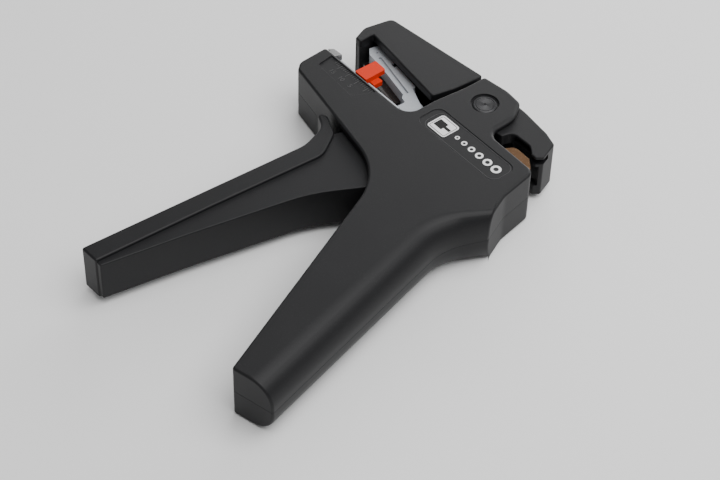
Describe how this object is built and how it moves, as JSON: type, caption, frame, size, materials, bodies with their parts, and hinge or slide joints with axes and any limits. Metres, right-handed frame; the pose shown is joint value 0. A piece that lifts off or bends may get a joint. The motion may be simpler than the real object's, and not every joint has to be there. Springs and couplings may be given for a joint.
{
  "type": "wire stripper",
  "caption": "Pistol-grip self-adjusting wire stripper with a rocking upper jaw, sliding blade carriage, length stop, squeeze trigger and a hooked rear wire cutter.",
  "frame": {"origin": "foot of the jaw pivot axis on the flat underside that the tool lies on", "axes": "+X from the wire mouth to the rear, +Y up the tool from grip to head, +Z along the pivot, out of the side with the scale"},
  "size_m": [0.1174, 0.1621, 0.022],
  "materials": {
    "shell_plastic": "fine moulded grain, charcoal glass-filled nylon",
    "carriage_plastic": "satin pale grey moulding",
    "stop_plastic": "bright orange-red satin moulding",
    "clamp_metal": "matt bead-blasted",
    "black_metal": "blackened, turned end",
    "steel_parts": "zinc plated",
    "blade_steel": "ground and hardened",
    "spring_steel": "drawn wire",
    "cutter_brass": "warm coated blade steel and bronze bushes"
  },
  "bodies": {
    "housing": {"right_shell": "shell_plastic", "left_shell": "shell_plastic", "pivot_pin": "black_metal", "thrust_washers": "steel_parts", "shell_screws": "steel_parts", "lower_clamp_jaw": "clamp_metal", "stop_rail": "carriage_plastic", "spring_seat": "steel_parts", "return_spring": "spring_steel"},
    "rocker": {"jaw_cover": "shell_plastic", "rocker_frame": "shell_plastic", "upper_clamp_jaw": "steel_parts", "cover_screws": "steel_parts", "rocker_bushes": "cutter_brass"},
    "trigger": {"trigger_grip": "shell_plastic", "drive_lever": "steel_parts", "lever_rivets": "steel_parts", "draw_pin": "steel_parts", "cutter_blade": "cutter_brass", "cutter_screws": "steel_parts"},
    "carriage": {"blade_carriage": "carriage_plastic", "drawbar": "steel_parts", "drawbar_rivets": "steel_parts", "lower_blade": "blade_steel", "arm_pin": "steel_parts"},
    "blade_arm": {"blade_arm": "carriage_plastic", "upper_blade": "blade_steel", "blade_screws": "steel_parts"},
    "length_stop": {"length_stop": "stop_plastic", "stop_spring": "spring_steel"}
  },
  "joints": [
    {"name": "trigger_pivot", "type": "hinge", "parent": "housing", "child": "trigger", "pos_m": [0, 0, 0.011], "axis": [0, 0, 1], "range_deg": [0, 20], "stiffness_Nm_per_rad": 2.5, "springref_deg": -17.19, "deforming": ["return_spring"]},
    {"name": "jaw_pivot", "type": "hinge", "parent": "housing", "child": "rocker", "pos_m": [0, 0, 0.011], "axis": [0, 0, 1], "range_deg": [0, 9.05]},
    {"name": "carriage_slide", "type": "slide", "parent": "housing", "child": "carriage", "axis": [1, 0, 0], "range_m": [0, 0.0141]},
    {"name": "arm_pivot", "type": "hinge", "parent": "carriage", "child": "blade_arm", "pos_m": [-0.02, -0.017, 0.011], "axis": [0, 0, 1], "range_deg": [0, 15.1]},
    {"name": "stop_slide", "type": "slide", "parent": "housing", "child": "length_stop", "axis": [1, 0, 0], "range_m": [-0.006, 0.008]}
  ],
  "couplings": [
    {"joint": "jaw_pivot", "follows": "trigger_pivot", "ratio": 0.45},
    {"joint": "carriage_slide", "follows": "trigger_pivot", "m_per_rad": 0.0401},
    {"joint": "arm_pivot", "follows": "trigger_pivot", "ratio": 0.75}
  ]
}
